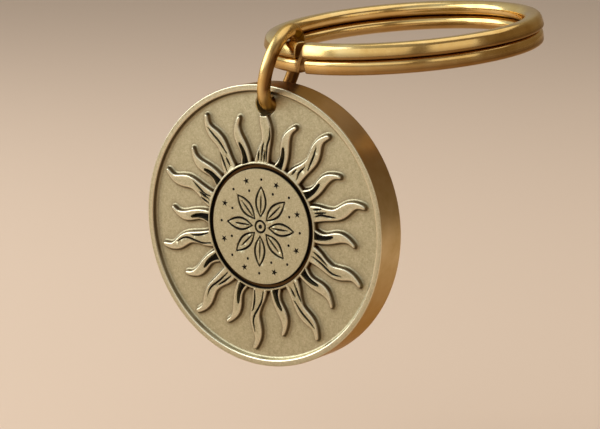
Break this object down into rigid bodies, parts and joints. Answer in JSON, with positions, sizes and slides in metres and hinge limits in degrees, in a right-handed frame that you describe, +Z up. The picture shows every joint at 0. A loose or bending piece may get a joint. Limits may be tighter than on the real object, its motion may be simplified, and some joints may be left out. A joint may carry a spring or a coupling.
{
  "type": "keychain",
  "caption": "Brass key chain: a thick round medallion with a wavy-rayed sun in relief hangs by a small jump ring from a double-coil split ring that holds keys.",
  "frame": {"origin": "centre of the split ring, halfway between its two turns", "axes": "+Z up as the key chain hangs at rest; -Y out of the medallion's relief side; +X towards the medallion's right seen from its relief side"},
  "size_m": [0.0382, 0.0313, 0.0378],
  "materials": {
    "split_ring": "polished, slightly tarnished",
    "jump_ring": "polished, slightly tarnished",
    "medallion": "fine satin with dark-filled lines"
  },
  "bodies": {
    "split_ring": {"split_ring": "split_ring"},
    "jump_ring": {"jump_ring": "jump_ring"},
    "medallion": {"medallion": "medallion"}
  },
  "joints": [
    {"name": "jump_ring_swing", "type": "hinge", "parent": "split_ring", "child": "jump_ring", "pos_m": [-0.00718, -0.01143, -0.00169], "axis": [0.8454, -0.5338, 0.0178], "range_deg": [-185, 38]},
    {"name": "medallion_swing", "type": "hinge", "parent": "jump_ring", "child": "medallion", "pos_m": [-0.00837, -0.01187, -0.00667], "axis": [0, 1, 0], "range_deg": [-20, 20]}
  ]
}
